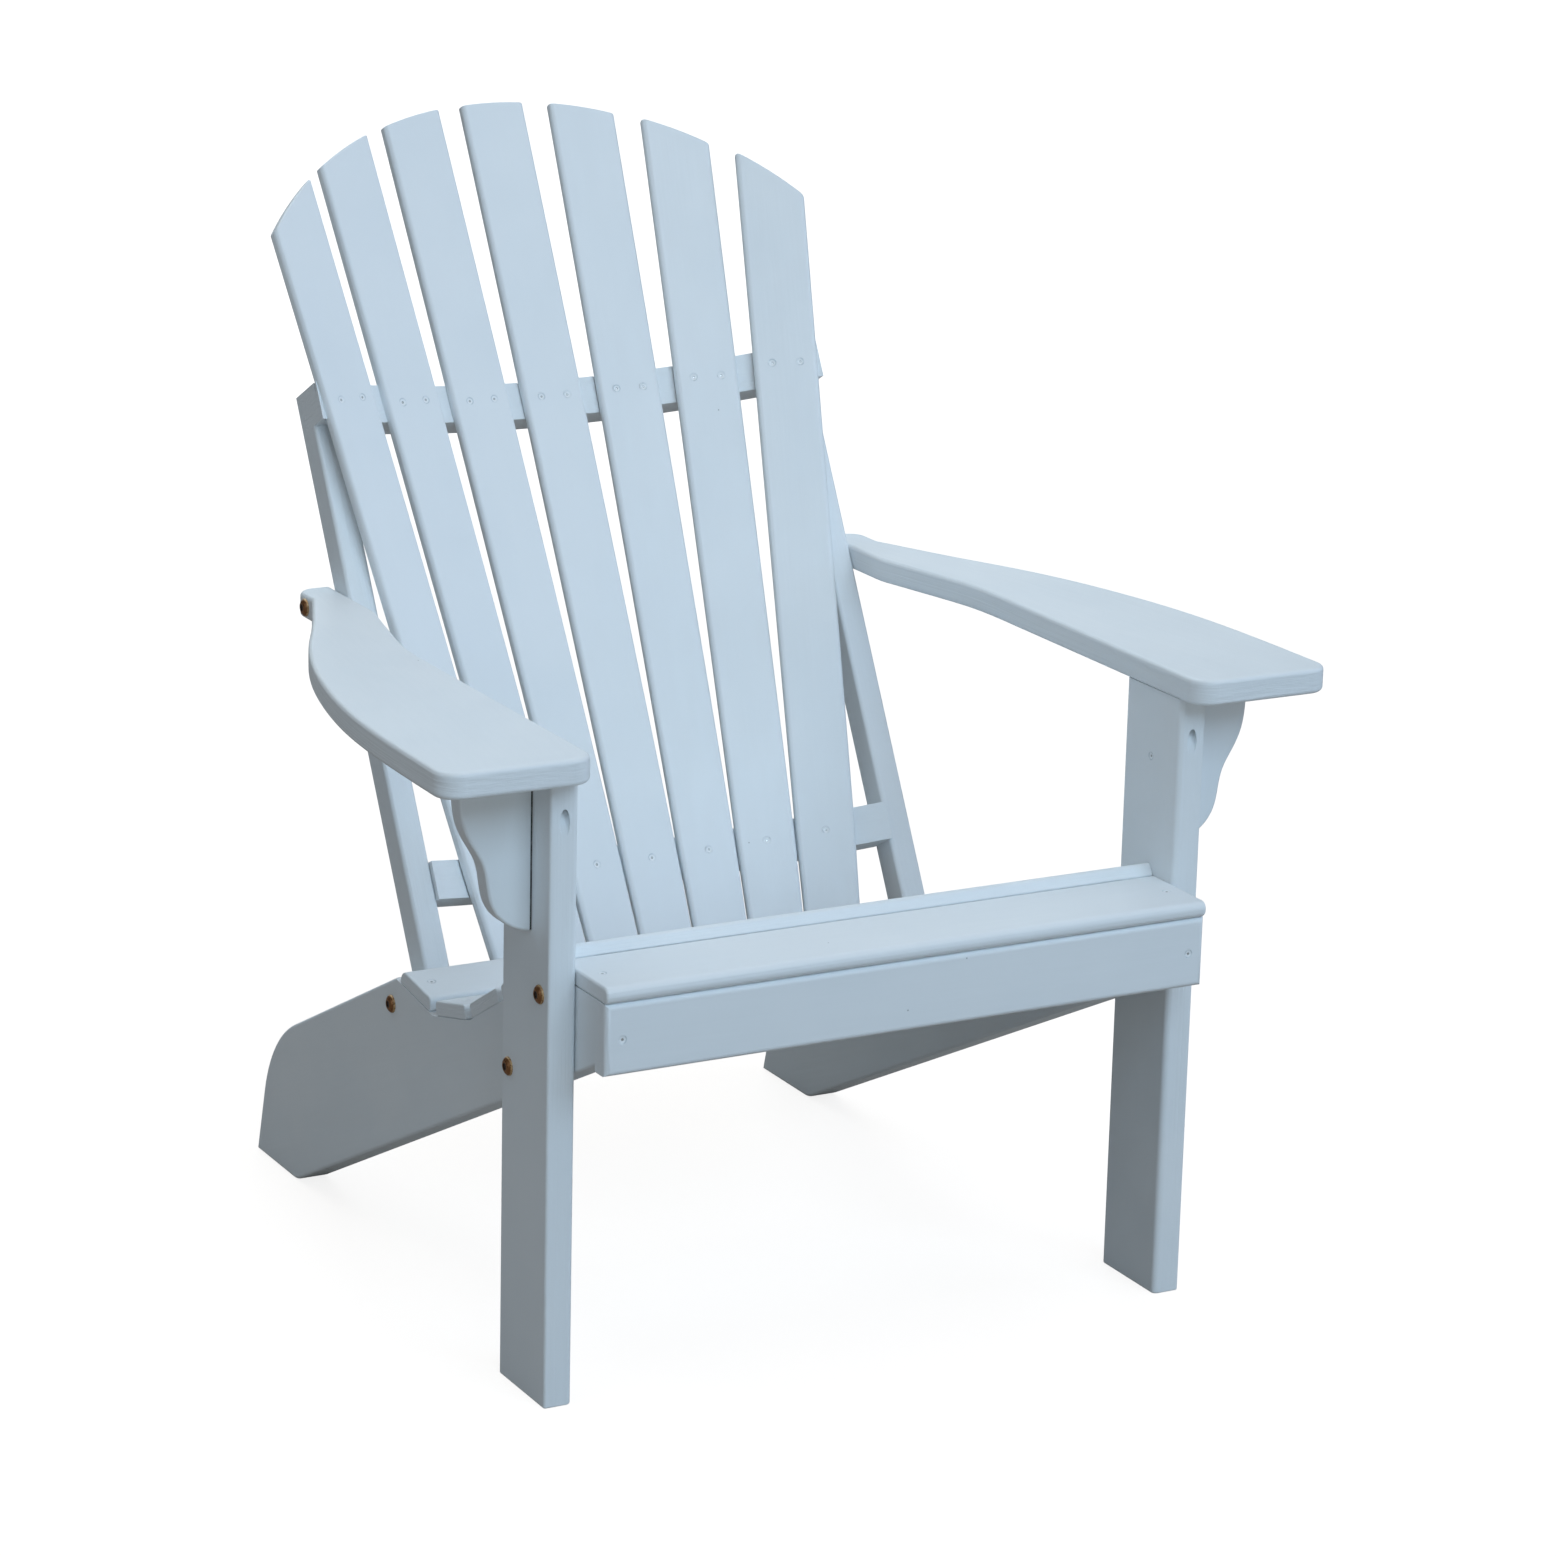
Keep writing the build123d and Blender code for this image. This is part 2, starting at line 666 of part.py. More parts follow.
back_upper_screws = []
back_lower_screws = []
back_len = back_thick - screw_sink + screw_bite
for k, (place, length) in enumerate(slat_frames):
    spots = [(0.0, 0.0), (-back_width_high * 0.22, length), (back_width_high * 0.22, length)]
    for i, (u, v) in enumerate(spots):
        piece = place * (Pos(u, v, -screw_sink) * screw(back_len))
        cut = place * (Pos(u, v, -screw_sink) * screw_hole(back_len))
        back_slats[k] = back_slats[k] - cut
        if i == 0:
            back_lower_screws.append(piece)
            rail_lower = rail_lower - cut
        else:
            back_upper_screws.append(piece)
            rail_upper = rail_upper - cut

# Collect the nodes
nodes = {
    "leg_right": leg,
    "leg_left": mirrored(leg),
    "stringer_right": stringer,
    "stringer_left": mirrored(stringer),
    "apron": apron,
    "post_right": post,
    "post_left": mirrored(post),
    "rail_upper": rail_upper,
    "rail_lower": rail_lower,
    "arm_right": arm,
    "arm_left": mirrored(arm),
    "corbel_right": corbel,
    "corbel_left": mirrored(corbel),
}
for i, piece in enumerate(seat_slats):
    nodes["seat_slat_%d" % (i + 1)] = piece
for k, piece in enumerate(back_slats):
    nodes["back_slat_%d" % (k + 1)] = piece


def group(pieces, both_sides):
    """One node from many like pieces, with their mirror images where asked."""
    found = [s for piece in pieces for s in piece.solids()]
    if both_sides:
        found = found + [s for piece in pieces for s in mirrored(piece).solids()]
    return Compound(found)


nodes["leg_bolts"] = group(leg_bolts, True)
nodes["leg_nuts"] = group(leg_nuts, True)
nodes["post_bolts"] = group([post_bolt], True)
nodes["post_nuts"] = group([post_nut], True)
nodes["arm_bolts"] = group([arm_bolt], True)
nodes["arm_nuts"] = group([arm_nut], True)
nodes["corbel_screws"] = group([corbel_screw], True)
nodes["pocket_screws"] = group([pocket_screw], True)
nodes["seat_screws"] = group(seat_screws, False)
nodes["apron_screws"] = group(apron_screws, False)
nodes["back_screws_upper"] = group(back_upper_screws, False)
nodes["back_screws_lower"] = group(back_lower_screws, False)

# Put the origin on the floor under the middle of the chair and write the files
boxes = [piece.bounding_box() for piece in nodes.values()]
front_y = min(box.min.Y for box in boxes)
rear_y = max(box.max.Y for box in boxes)
floor_z = min(box.min.Z for box in boxes)
shift = Location((0, -(front_y + rear_y) / 2, -floor_z))
os.makedirs("parts", exist_ok=True)
for name, piece in nodes.items():
    placed = Compound([shift * solid for solid in piece.solids()])
    export_step(placed, "parts/%s.step" % name)
    box = placed.bounding_box()
    print(name, "volume %.0f" % placed.volume, "solids %d" % len(placed.solids()), box.min, box.max)
print("front %.2f rear %.2f floor %.2f" % (front_y, rear_y, floor_z))
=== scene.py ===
import json
import logging
import math
import random
from dataclasses import dataclass
from enum import Enum
from typing import Sequence

import bmesh
import bpy
import numpy as np
from mathutils import Matrix, Vector

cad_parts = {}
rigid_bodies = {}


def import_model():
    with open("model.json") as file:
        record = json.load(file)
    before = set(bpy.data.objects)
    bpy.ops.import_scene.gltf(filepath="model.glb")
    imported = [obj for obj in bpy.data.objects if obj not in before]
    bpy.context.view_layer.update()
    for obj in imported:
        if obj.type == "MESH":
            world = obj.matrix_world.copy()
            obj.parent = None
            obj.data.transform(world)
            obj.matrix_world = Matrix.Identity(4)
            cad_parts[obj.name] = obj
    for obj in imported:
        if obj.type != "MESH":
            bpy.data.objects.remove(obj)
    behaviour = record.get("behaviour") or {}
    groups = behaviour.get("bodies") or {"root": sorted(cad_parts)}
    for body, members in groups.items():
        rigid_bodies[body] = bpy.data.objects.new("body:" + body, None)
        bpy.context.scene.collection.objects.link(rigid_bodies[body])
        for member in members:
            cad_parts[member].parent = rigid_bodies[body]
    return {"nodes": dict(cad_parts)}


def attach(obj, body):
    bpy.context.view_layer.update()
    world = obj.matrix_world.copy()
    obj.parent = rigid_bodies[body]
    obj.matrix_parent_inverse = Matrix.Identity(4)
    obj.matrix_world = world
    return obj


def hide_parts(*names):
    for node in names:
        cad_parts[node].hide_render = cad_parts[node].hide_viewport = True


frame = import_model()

log = logging.getLogger("chair")

Triple = tuple[float, float, float]
Pair = tuple[float, float]
Socket = bpy.types.NodeSocket
Ring = list[bmesh.types.BMVert]

RISE: Pair = (0.0, 1.0)
FALL: Pair = (1.0, 0.0)
ROOT = "root"
GRAIN = "grain"
TONE = "tone"
RING = "ring"
FACING = "facing"
SIDES = ("left", "right")


class Slot(Enum):
    """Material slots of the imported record."""

    PAINT = "paint"
    BRONZE = "bronze"
    SCREW = "screw"


class GrainRun(Enum):
    """Which way the grain of a board runs."""

    LENGTH = "length"
    UPRIGHT = "upright"


class Seat(Enum):
    """What carries a fastener's head: the face under it, or the face above a sunk head."""

    PROUD = "proud"
    SUNK = "sunk"


class RoughBy(Enum):
    """Pattern that the roughness of a plain finish follows."""

    CLOUD = "cloud"
    GRAIN = "grain"


class LightRole(Enum):
    """Job of a studio light."""

    KEY = "key_panel"
    FRONT = "front_panel"
    TOP = "top_panel"
    CROWN = "crown_panel"
    FILL = "fill_panel"
    EDGE = "edge_panel"
    REAR = "rear_panel"


@dataclass(frozen=True)
class Noise:
    """Settings of a noise texture: cells a unit, octaves and weight of the finer octaves."""

    scale: float
    detail: float
    rough: float
    stretch: Triple | None = None


@dataclass(frozen=True)
class Skin:
    """Settings of a surface: roughness at both ends of a pattern, bump, metal and reflections."""

    roughness: Pair
    bump: float
    bump_depth: float
    metallic: float = 0.0
    specular: float = 0.5
    rough_span: Pair = (0.3, 0.7)


class NodeCanvas:
    """Small helper that places and links shader or geometry nodes."""

    def __init__(self, tree: bpy.types.NodeTree) -> None:
        """Keep the tree and start with no nodes."""
        self.tree = tree
        self.tree.nodes.clear()

    def add(self, kind: str, **settings: object) -> bpy.types.Node:
        """Add a node and set its properties.

        Args:
            kind: Blender's identifier of the node type.
            **settings: Property names and values.

        Returns:
            The new node.
        """
        node = self.tree.nodes.new(kind)
        for name, value in settings.items():
            setattr(node, name, value)
        return node

    def link(self, source: Socket, target: Socket) -> None:
        """Link an output to an input."""
        self.tree.links.new(source, target)

    def math(self, operation: str, first: Socket | float, second: Socket | float) -> Socket:
        """Add a math node fed by sockets or numbers.

        Args:
            operation: Name of the operation.
            first: Socket or number for the first input.
            second: Socket or number for the second input.

        Returns:
            The result socket.
        """
        node = self.add("ShaderNodeMath", operation=operation)
        for slot, value in zip(node.inputs, (first, second)):
            if isinstance(value, Socket):
                self.link(value, slot)
            else:
                slot.default_value = value
        return node.outputs[0]

    def remap(self, value: Socket, span: Pair, result: Pair = RISE) -> Socket:
        """Map a range of a value onto another, clamped.

        Args:
            value: Socket to read.
            span: Lower and upper end of the range that is read.
            result: Results at the lower and at the upper end.

        Returns:
            The mapped socket.
        """
        node = self.add("ShaderNodeMapRange", interpolation_type="SMOOTHSTEP")
        self.link(value, node.inputs[0])
        for slot, number in zip(node.inputs[1:5], (*span, *result)):
            slot.default_value = number
        return node.outputs[0]

    def noise(self, vector: Socket, noise: Noise) -> Socket:
        """Add a noise texture and return its value.

        Args:
            vector: Coordinates.
            noise: Settings of the noise.

        Returns:
            The noise value socket.
        """
        if noise.stretch is not None:
            vector = self.stretched(vector, noise.stretch)
        node = self.add("ShaderNodeTexNoise")
        node.inputs["Scale"].default_value = noise.scale
        node.inputs["Detail"].default_value = noise.detail
        node.inputs["Roughness"].default_value = noise.rough
        self.link(vector, node.inputs["Vector"])
        return node.outputs["Fac"]

    def stretched(self, vector: Socket, scale: Sequence[float]) -> Socket:
        """Scale coordinates by a different amount on each axis.

        Args:
            vector: Coordinates.
            scale: Factors for the three axes.

        Returns:
            The scaled coordinates.
        """
        node = self.add("ShaderNodeVectorMath", operation="MULTIPLY")
        self.link(vector, node.inputs[0])
        node.inputs[1].default_value = scale
        return node.outputs[0]

    def mix(self, share: Socket, first: Socket | Triple, second: Socket | Triple) -> Socket:
        """Mix two colours by a share.

        Args:
            share: Socket from zero to one.
            first: Colour or socket at zero.
            second: Colour or socket at one.

        Returns:
            The mixed colour socket.
        """
        node = self.add("ShaderNodeMix", data_type="RGBA")
        self.link(share, node.inputs[0])
        for slot, value in ((node.inputs[6], first), (node.inputs[7], second)):
            if isinstance(value, Socket):
                self.link(value, slot)
            else:
                slot.default_value = (*value, 1.0)
        return node.outputs[2]

    def surface(self, colour: Socket, rough: Socket, height: Socket, skin: Skin) -> None:
        """Close a material with its surface.

        Args:
            colour: Base colour.
            rough: Pattern that the roughness follows.
            height: Height of the bump.
            skin: Settings of the surface.
        """
        relief = self.add("ShaderNodeBump")
        relief.inputs["Strength"].default_value = skin.bump
        relief.inputs["Distance"].default_value = skin.bump_depth
        self.link(height, relief.inputs["Height"])
        shader = self.add("ShaderNodeBsdfPrincipled")
        shader.inputs["Metallic"].default_value = skin.metallic
        shader.inputs["Specular IOR Level"].default_value = skin.specular
        self.link(colour, shader.inputs["Base Color"])
        self.link(self.remap(rough, skin.rough_span, skin.roughness), shader.inputs["Roughness"])
        self.link(relief.outputs[0], shader.inputs["Normal"])
        output = self.add("ShaderNodeOutputMaterial")
        self.link(shader.outputs[0], output.inputs[0])


def new_material(name: str) -> tuple[bpy.types.Material, NodeCanvas]:
    """Start a material.

    Args:
        name: Name of the material.

    Returns:
        The material and the canvas of its empty tree.
    """
    made = bpy.data.materials.new(name)
    made.use_nodes = True
    return made, NodeCanvas(made.node_tree)


@dataclass(frozen=True)
class PaintFinish:
    """Satin white paint over wood, with the grain of each board showing faintly."""

    name: str = "satin_paint"
    colour: Triple = (0.800, 0.850, 0.880)
    pale: Triple = (0.820, 0.865, 0.888)
    dull: Triple = (0.768, 0.824, 0.858)
    speck: Triple = (0.260, 0.290, 0.310)
    rings: Noise = Noise(1.0, 3.0, 0.55, (2.2, 38.0, 430.0))
    fibre: Noise = Noise(1.0, 4.0, 0.6, (16.0, 520.0, 520.0))
    brush: Noise = Noise(1.0, 2.0, 0.5, (22.0, 260.0, 260.0))
    cloud: Noise = Noise(7.0, 3.0, 0.5)
    cloud_span: Pair = (0.36, 0.66)
    streak_span: Pair = (0.35, 0.70)
    streak_share: Pair = (0.0, 0.30)
    speck_scale: float = 75.0
    speck_rarity: float = 0.986
    speck_span: Pair = (0.03, 0.07)
    speck_share: float = 0.75
    speck_pit: float = 0.5
    ring_height: float = 3.4
    fibre_height: float = 0.30
    brush_height: float = 0.25
    skin: Skin = Skin((0.40, 0.54), 0.32, 0.0006, specular=0.42)

    def material(self) -> bpy.types.Material:
        """Build the paint from the boards' own grain coordinates.

        Returns:
            The paint material.
        """
        made, art = new_material(self.name)
        along = art.add("ShaderNodeAttribute", attribute_name=GRAIN).outputs["Vector"]
        tone = art.add("ShaderNodeAttribute", attribute_name=TONE).outputs["Fac"]
        rings = art.noise(along, self.rings)
        fibre = art.noise(along, self.fibre)
        brush = art.noise(along, self.brush)
        specks = self.specks(art, along)
        tint = art.mix(art.remap(art.noise(along, self.cloud), self.cloud_span), self.dull, self.pale)
        tint = art.mix(art.remap(rings, self.streak_span, self.streak_share), tint, self.colour)
        board = art.mix(tone, tint, self.colour)
        ground = art.mix(art.math("MULTIPLY", specks, self.speck_share), board, self.speck)
        ridges = art.math("MULTIPLY", rings, self.ring_height)
        lines = art.math("MULTIPLY", fibre, self.fibre_height)
        strokes = art.math("MULTIPLY", brush, self.brush_height)
        height = art.math("ADD", art.math("ADD", ridges, lines), strokes)
        height = art.math("SUBTRACT", height, art.math("MULTIPLY", specks, self.speck_pit))
        art.surface(ground, brush, height, self.skin)
        return made

    def specks(self, art: NodeCanvas, along: Socket) -> Socket:
        """Scatter a few small specks.

        Args:
            art: Canvas of the material.
            along: Grain coordinates.

        Returns:
            One inside a speck and zero elsewhere.
        """
        dots = art.add("ShaderNodeTexVoronoi", feature="F1")
        dots.inputs["Scale"].default_value = self.speck_scale
        art.link(along, dots.inputs["Vector"])
        picked = art.add("ShaderNodeSeparateColor")
        art.link(dots.outputs["Color"], picked.inputs[0])
        rare = art.math("GREATER_THAN", picked.outputs[0], self.speck_rarity)
        return art.math("MULTIPLY", rare, art.remap(dots.outputs["Distance"], self.speck_span, FALL))


@dataclass(frozen=True)
class RingFinish:
    """Plated metal whose tone follows the distance from the fastener's axis, with a painted highlight near
    the rim and painted shade round the socket.
    """

    name: str = "dark_bronze"
    colour: Triple = (0.270, 0.122, 0.046)
    # Painted highlight: the brighter tone near the dome's rim, in random patches.
    rim: Triple = (0.640, 0.430, 0.230)
    # Painted shade: near-black ring round the hex socket.
    socket_shade: Triple = (0.040, 0.018, 0.008)
    stain: Noise = Noise(420.0, 3.0, 0.6)
    scratch: Noise = Noise(1.0, 2.0, 0.5, (900.0, 4200.0, 900.0))
    rim_glint_span: Pair = (0.88, 0.98)
    glint_patch_span: Pair = (0.3, 0.6)
    glint_patch_share: Pair = (0.45, 1.0)
    socket_shade_inner: Pair = (0.22, 0.29)
    socket_shade_outer: Pair = (0.36, 0.44)
    skin: Skin = Skin((0.22, 0.44), 0.12, 0.0002, metallic=0.70)

    def material(self) -> bpy.types.Material:
        """Build the metal with a painted highlight near the rim in random patches, a ring of painted shade
        round the socket and fine scratches.

        Returns:
            The metal material.
        """
        made, art = new_material(self.name)
        place = art.add("ShaderNodeTexCoord").outputs["Object"]
        ring = art.add("ShaderNodeAttribute", attribute_name=RING).outputs["Fac"]
        stain = art.noise(place, self.stain)
        glint_patches = art.remap(stain, self.glint_patch_span, self.glint_patch_share)
        # Painted highlight near the rim, broken into random patches by the stain noise.
        rim_glint = art.math("MULTIPLY", art.remap(ring, self.rim_glint_span), glint_patches)
        body = art.mix(rim_glint, self.colour, self.rim)
        inner = art.remap(ring, self.socket_shade_inner)
        outer = art.remap(ring, self.socket_shade_outer, FALL)
        # Painted shade in a ring round the socket.
        ground = art.mix(art.math("MULTIPLY", inner, outer), body, self.socket_shade)
        art.surface(ground, stain, art.noise(place, self.scratch), self.skin)
        return made


@dataclass(frozen=True)
class CloudFinish:
    """Plain finish of two tones in soft clouds, with a fine grain."""

    name: str
    colour: Triple
    second: Triple
    cloud: Noise
    cloud_span: Pair
    grain: Noise
    rough_by: RoughBy
    skin: Skin

    def material(self) -> bpy.types.Material:
        """Build the finish.

        Returns:
            The material.
        """
        made, art = new_material(self.name)
        place = art.add("ShaderNodeTexCoord").outputs["Object"]
        cloud = art.noise(place, self.cloud)
        grain = art.noise(place, self.grain)
        ground = art.mix(art.remap(cloud, self.cloud_span), self.colour, self.second)
        rough = cloud if self.rough_by is RoughBy.CLOUD else grain
        art.surface(ground, rough, grain, self.skin)
        return made


@dataclass(frozen=True)
class FillerFinish:
    """Paint over a filled screw, with a soft ring, a patchy crescent of painted shade near its edge and a
    small pit painted dark as shade.
    """

    name: str = "filled_screw"
    colour: Triple = (0.800, 0.850, 0.880)
    pale: Triple = (0.860, 0.895, 0.915)
    shade: Triple = (0.560, 0.625, 0.665)
    # Painted shade: dark tone in the pit at the plug's middle.
    pit: Triple = (0.230, 0.260, 0.280)
    stain: Noise = Noise(700.0, 3.0, 0.6)
    patch: Noise = Noise(160.0, 1.0, 0.5)
    waver: float = 0.12
    edge_inner: Pair = (0.66, 0.84)
    edge_outer: Pair = (0.94, 1.04)
    patch_span: Pair = (0.42, 0.58)
    patch_share: Pair = (0.15, 0.90)
    collar_inner: Pair = (0.30, 0.44)
    collar_outer: Pair = (0.56, 0.74)
    pit_shade_span: Pair = (0.24, 0.40)
    skin: Skin = Skin((0.42, 0.58), 0.25, 0.0004)

    def material(self) -> bpy.types.Material:
        """Build the filler from the ring attribute of each plug.

        Returns:
            The filler material.
        """
        made, art = new_material(self.name)
        place = art.add("ShaderNodeTexCoord").outputs["Object"]
        ring = art.add("ShaderNodeAttribute", attribute_name=RING).outputs["Fac"]
        stain = art.noise(place, self.stain)
        patch = art.noise(place, self.patch)
        soft = art.math("ADD", ring, art.math("MULTIPLY", stain, self.waver))
        outside = art.remap(soft, self.edge_outer, FALL)
        edge = art.math("MULTIPLY", art.remap(soft, self.edge_inner), outside)
        # Painted shade: a crescent along the dish's edge, broken into random patches.
        crescent_shade = art.math("MULTIPLY", edge, art.remap(patch, self.patch_span, self.patch_share))
        outside = art.remap(soft, self.collar_outer, FALL)
        collar = art.math("MULTIPLY", art.remap(soft, self.collar_inner), outside)
        paint = art.mix(crescent_shade, self.colour, self.shade)
        paint = art.mix(collar, paint, self.pale)
        # Painted shade in the pit at the middle.
        ground = art.mix(art.remap(soft, self.pit_shade_span, FALL), paint, self.pit)
        art.surface(ground, stain, stain, self.skin)
        return made


SCREW_STEEL = CloudFinish(
    name="screw_steel",
    colour=(0.560, 0.560, 0.540),
    second=(0.300, 0.285, 0.260),
    cloud=Noise(500.0, 3.0, 0.6),
    cloud_span=(0.5, 0.75),
    grain=Noise(3200.0, 2.0, 0.5),
    rough_by=RoughBy.CLOUD,
    skin=Skin((0.32, 0.54), 0.10, 0.0002, metallic=1.0),
)
# Painted shade: near-black strips stand in for the shade in the corbel joints.
JOINT_SHADE = CloudFinish(
    name="open_joint",
    colour=(0.060, 0.062, 0.064),
    second=(0.150, 0.158, 0.164),
    cloud=Noise(90.0, 3.0, 0.6),
    cloud_span=(0.45, 0.75),
    grain=Noise(1400.0, 2.0, 0.5),
    rough_by=RoughBy.GRAIN,
    skin=Skin((0.77, 0.95), 0.40, 0.0002),
)


@dataclass
class Finishes:
    """The finishes in use, each built once."""

    paint: bpy.types.Material
    filler: bpy.types.Material
    bronze: bpy.types.Material
    steel: bpy.types.Material
    joint: bpy.types.Material

    @classmethod
    def build(cls) -> "Finishes":
        """Build every finish.

        Returns:
            The set of finishes.
        """
        return cls(
            paint=PaintFinish().material(),
            filler=FillerFinish().material(),
            bronze=RingFinish().material(),
            steel=SCREW_STEEL.material(),
            joint=JOINT_SHADE.material(),
        )


@dataclass(frozen=True)
class Board:
    """One painted board: its node and the way its grain runs."""

    node: str
    run: GrainRun = GrainRun.LENGTH

    def directions(self, mesh: bpy.types.Mesh) -> Matrix:
        """Find the directions along, across and through the board.

        Args:
            mesh: Mesh of the board.

        Returns:
            A matrix with one direction in each row.
        """
        if self.run is GrainRun.UPRIGHT:
            return Matrix(((0.0, 0.0, 1.0), (1.0, 0.0, 0.0), (0.0, 1.0, 0.0)))
        centres = np.array([face.center for face in mesh.polygons])
        weights = np.array([face.area for face in mesh.polygons])
        spread = np.cov(centres.T, aweights=weights)
        axes = np.linalg.eigh(spread)[1].T[::-1]
        along, across = (Vector(axis if axis[np.argmax(np.abs(axis))] > 0 else -axis) for axis in axes[:2])
        return Matrix((along, across, along.cross(across)))


@dataclass(frozen=True)
class Spot:
    """Place of a fastener on a surface and the way it faces."""

    place: Vector
    facing: Vector


@dataclass(frozen=True)
class FastenerPlaces:
    """Reads where a node's fasteners sit from its own solids."""

    node: str
    seat: Seat
    sunk_by: float = 0.0008
    merge: float = 0.000004
    rim_share: float = 0.98
    digits: int = 5

    def spots(self) -> list[Spot]:
        """Find one spot for each fastener of the node.

        Returns:
            The spots, from the viewer's left to the right.
        """
        work = bmesh.new()
        work.from_mesh(frame["nodes"][self.node].data)
        bmesh.ops.remove_doubles(work, verts=work.verts, dist=self.merge)
        left = set(work.verts)
        found = []
        while left:
            found.append(self.spot(self.island(left)))
        work.free()
        return sorted(found, key=lambda spot: tuple(round(value, self.digits) for value in spot.place))

    def island(self, left: set[bmesh.types.BMVert]) -> np.ndarray:
        """Take the points of one fastener out of those that are left.

        Args:
            left: Points not yet taken.

        Returns:
            The fastener's points, one in each row.
        """
        queue = [left.pop()]
        points = []
        while queue:
            vertex = queue.pop()
            points.append(vertex.co[:])
            for edge in vertex.link_edges:
                other = edge.other_vert(vertex)
                if other in left:
                    left.discard(other)
                    queue.append(other)
        return np.array(sorted(points))

    def spot(self, points: np.ndarray) -> Spot:
        """Find the axis of one fastener and the face that carries its head.

        Args:
            points: Points of the fastener.

        Returns:
            Its spot, facing out of the surface.
        """
        centre = (points.max(axis=0) + points.min(axis=0)) / 2
        rest = points - centre
        axis = np.linalg.eigh(rest.T @ rest)[1][:, -1]
        along = rest @ axis
        middle = rest.mean(axis=0)
        sides = rest - middle - np.outer(along - middle @ axis, axis)
        reach = np.linalg.norm(sides, axis=1)
        widest = along[reach > reach.max() * self.rim_share]
        if widest.mean() < 0.0:
            axis, along, widest = -axis, -along, -widest
        height = widest.min() if self.seat is Seat.PROUD else along.max() + self.sunk_by
        base = centre + middle - axis * (middle @ axis) + axis * height
        return Spot(Vector(base), Vector(axis))


@dataclass
class BoardShop:
    """Turns the solids of the boards into painted boards with grain coordinates."""

    finishes: Finishes
    seed: int = 41
    sharp_angle: float = 38.0
    merge: float = 0.000004
    normal_weight: int = 80
    grain_shift: float = 9.0
    tone_span: Pair = (0.15, 0.65)

    def __post_init__(self) -> None:
        """Start the fixed random sequence that sets each board's own grain."""
        self.chance = random.Random(self.seed)

    def dress(self, board: Board) -> bpy.types.Object:
        """Make one painted board and let it stand for its node.

        Args:
            board: The node and its grain directions.

        Returns:
            The painted board.
        """
        mesh = frame["nodes"][board.node].data.copy()
        mesh.name = "painted_" + board.node
        self.smooth(mesh)
        self.grain(mesh, board.directions(mesh))
        mesh.materials.clear()
        mesh.materials.append(self.finishes.paint)
        piece = bpy.data.objects.new(mesh.name, mesh)
        bpy.context.scene.collection.objects.link(piece)
        weighted = piece.modifiers.new("even_normals", "WEIGHTED_NORMAL")
        weighted.keep_sharp = True
        weighted.weight = self.normal_weight
        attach(piece, ROOT)
        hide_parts(board.node)
        log.info("board %s with %d faces", piece.name, len(mesh.polygons))
        return piece

    def smooth(self, mesh: bpy.types.Mesh) -> None:
        """Join the loose triangles and mark the sharp edges.

        Args:
            mesh: Copy of a node's mesh.
        """
        work = bmesh.new()
        work.from_mesh(mesh)
        bmesh.ops.remove_doubles(work, verts=work.verts, dist=self.merge)
        bmesh.ops.dissolve_degenerate(work, edges=work.edges, dist=self.merge)
        limit = math.radians(self.sharp_angle)
        for edge in work.edges:
            edge.smooth = len(edge.link_faces) == 2 and edge.calc_face_angle(0.0) < limit
        for face in work.faces:
            face.smooth = True
            face.material_index = 0
        work.to_mesh(mesh)
        work.free()

    def grain(self, mesh: bpy.types.Mesh, turn: Matrix) -> None:
        """Store the board's own coordinates and its tone on the mesh.

        Args:
            mesh: Mesh of the board.
            turn: Directions along, across and through the board.
        """
        shift = Vector([self.chance.uniform(-self.grain_shift, self.grain_shift) for _ in range(3)])
        level = self.chance.uniform(*self.tone_span)
        numbers = [value for vertex in mesh.vertices for value in turn @ vertex.co + shift]
        mesh.attributes.new(GRAIN, "FLOAT_VECTOR", "POINT")
        mesh.attributes.new(TONE, "FLOAT", "POINT")
        mesh.attributes[GRAIN].data.foreach_set("vector", numbers)
        mesh.attributes[TONE].data.foreach_set("value", [level] * len(mesh.vertices))


@dataclass
class SeatDeck:
    """Apron, front slat and the dished row of thin slats."""

    slats: int = 6
    screw_nodes: tuple[str, ...] = ("seat_screws", "apron_screws")

    def boards(self) -> list[Board]:
        """Boards of the seat, from the apron to the rear."""
        return [Board("apron")] + [Board("seat_slat_%d" % (i + 1)) for i in range(self.slats)]


@dataclass
class LegFrame:
    """Front legs, stringers and corbels, with the bolts that join them."""

    bolt_nodes: tuple[str, ...] = ("leg_bolts",)
    nut_nodes: tuple[str, ...] = ("leg_nuts",)
    screw_nodes: tuple[str, ...] = ("corbel_screws",)

    def boards(self) -> list[Board]:
        """Boards of both sides.

        Returns:
            The boards, the left side first.
        """
        found = []
        for side in SIDES:
            found.append(Board("leg_" + side))
            found.append(Board("stringer_" + side))
            found.append(Board("corbel_" + side, GrainRun.UPRIGHT))
        return found


